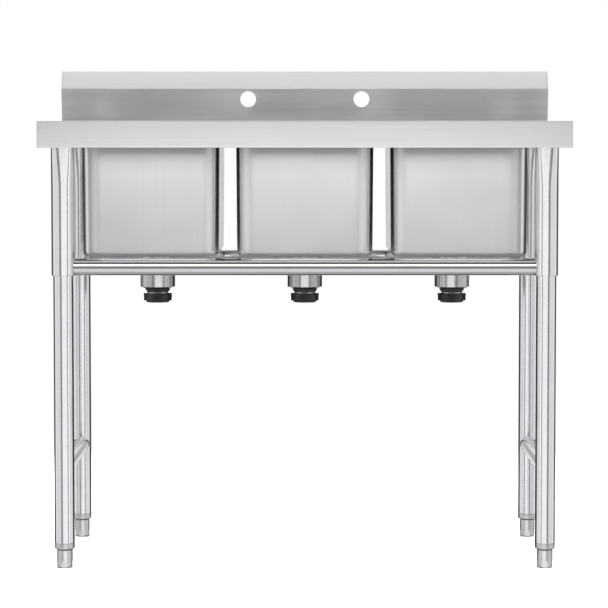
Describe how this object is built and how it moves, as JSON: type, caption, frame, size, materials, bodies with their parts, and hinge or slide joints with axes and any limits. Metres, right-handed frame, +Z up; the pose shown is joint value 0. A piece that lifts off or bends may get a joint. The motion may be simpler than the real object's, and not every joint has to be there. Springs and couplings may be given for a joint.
{
  "type": "three compartment sink",
  "caption": "Free-standing stainless compartment sink with backsplash, deep drawn bowls, basket strainer drains and tubular legs with levelling feet.",
  "frame": {"origin": "on the floor, under the middle of the deck", "axes": "+X to the right along the deck, +Y from the front to the wall, +Z up"},
  "size_m": [1, 0.485, 0.953],
  "materials": {
    "deck": "stainless sheet, satin, fine grain along the length",
    "bowl": "deep drawn stainless, satin outside, brushed inside",
    "tube": "stainless tube, polished bright",
    "cup": "turned and pressed stainless, satin",
    "foot": "turned stainless, fine turning marks",
    "screw": "plain steel screw",
    "channel": "dull mill finish sheet",
    "nut": "black moulded plastic, semi-matt",
    "rubber": "black rubber, matt"
  },
  "bodies": {
    "frame": {"deck_panel": "deck", "backsplash_panel": "deck", "backsplash_end_left": "deck", "backsplash_end_right": "deck", "side_channel_left": "channel", "side_channel_right": "channel", "front_rail": "tube", "rear_rail": "tube", "side_stretcher_left": "tube", "side_stretcher_right": "tube", "leg_sleeve_front_left": "tube", "lower_leg_front_left": "tube", "grub_screw_front_left": "screw", "tube_insert_front_left": "foot", "leg_sleeve_front_right": "tube", "lower_leg_front_right": "tube", "grub_screw_front_right": "screw", "tube_insert_front_right": "foot", "leg_sleeve_rear_left": "tube", "lower_leg_rear_left": "tube", "grub_screw_rear_left": "screw", "tube_insert_rear_left": "foot", "leg_sleeve_rear_right": "tube", "lower_leg_rear_right": "tube", "grub_screw_rear_right": "screw", "tube_insert_rear_right": "foot", "bowl_left": "bowl", "drain_body_left": "cup", "drain_gasket_left": "rubber", "drain_cup_left": "cup", "drain_locknut_left": "nut", "bowl_centre": "bowl", "drain_body_centre": "cup", "drain_gasket_centre": "rubber", "drain_cup_centre": "cup", "drain_locknut_centre": "nut", "bowl_right": "bowl", "drain_body_right": "cup", "drain_gasket_right": "rubber", "drain_cup_right": "cup", "drain_locknut_right": "nut"},
    "levelling_foot_front_left": {"foot_front_left": "foot", "foot_stud_front_left": "screw"},
    "levelling_foot_front_right": {"foot_front_right": "foot", "foot_stud_front_right": "screw"},
    "levelling_foot_rear_left": {"foot_rear_left": "foot", "foot_stud_rear_left": "screw"},
    "levelling_foot_rear_right": {"foot_rear_right": "foot", "foot_stud_rear_right": "screw"},
    "basket_left": {"strainer_basket_left": "cup", "basket_stopper_left": "rubber"},
    "nut_left": {"outlet_nut_left": "nut"},
    "basket_centre": {"strainer_basket_centre": "cup", "basket_stopper_centre": "rubber"},
    "nut_centre": {"outlet_nut_centre": "nut"},
    "basket_right": {"strainer_basket_right": "cup", "basket_stopper_right": "rubber"},
    "nut_right": {"outlet_nut_right": "nut"}
  },
  "joints": [
    {"name": "foot_front_left_screw", "type": "slide", "parent": "frame", "child": "levelling_foot_front_left", "axis": [0, 0, -1], "range_m": [0, 0.025]},
    {"name": "foot_front_right_screw", "type": "slide", "parent": "frame", "child": "levelling_foot_front_right", "axis": [0, 0, -1], "range_m": [0, 0.025]},
    {"name": "foot_rear_left_screw", "type": "slide", "parent": "frame", "child": "levelling_foot_rear_left", "axis": [0, 0, -1], "range_m": [0, 0.025]},
    {"name": "foot_rear_right_screw", "type": "slide", "parent": "frame", "child": "levelling_foot_rear_right", "axis": [0, 0, -1], "range_m": [0, 0.025]},
    {"name": "basket_left_lift", "type": "slide", "parent": "frame", "child": "basket_left", "axis": [0, 0, 1], "range_m": [0, 0.31]},
    {"name": "nut_left_turn", "type": "hinge", "parent": "frame", "child": "nut_left", "pos_m": [-0.293, 0.0575, 0.496], "axis": [0, 0, -1], "range_deg": [0, 360]},
    {"name": "basket_centre_lift", "type": "slide", "parent": "frame", "child": "basket_centre", "axis": [0, 0, 1], "range_m": [0, 0.31]},
    {"name": "nut_centre_turn", "type": "hinge", "parent": "frame", "child": "nut_centre", "pos_m": [0, 0.0575, 0.496], "axis": [0, 0, -1], "range_deg": [0, 360]},
    {"name": "basket_right_lift", "type": "slide", "parent": "frame", "child": "basket_right", "axis": [0, 0, 1], "range_m": [0, 0.31]},
    {"name": "nut_right_turn", "type": "hinge", "parent": "frame", "child": "nut_right", "pos_m": [0.293, 0.0575, 0.496], "axis": [0, 0, -1], "range_deg": [0, 360]}
  ]
}
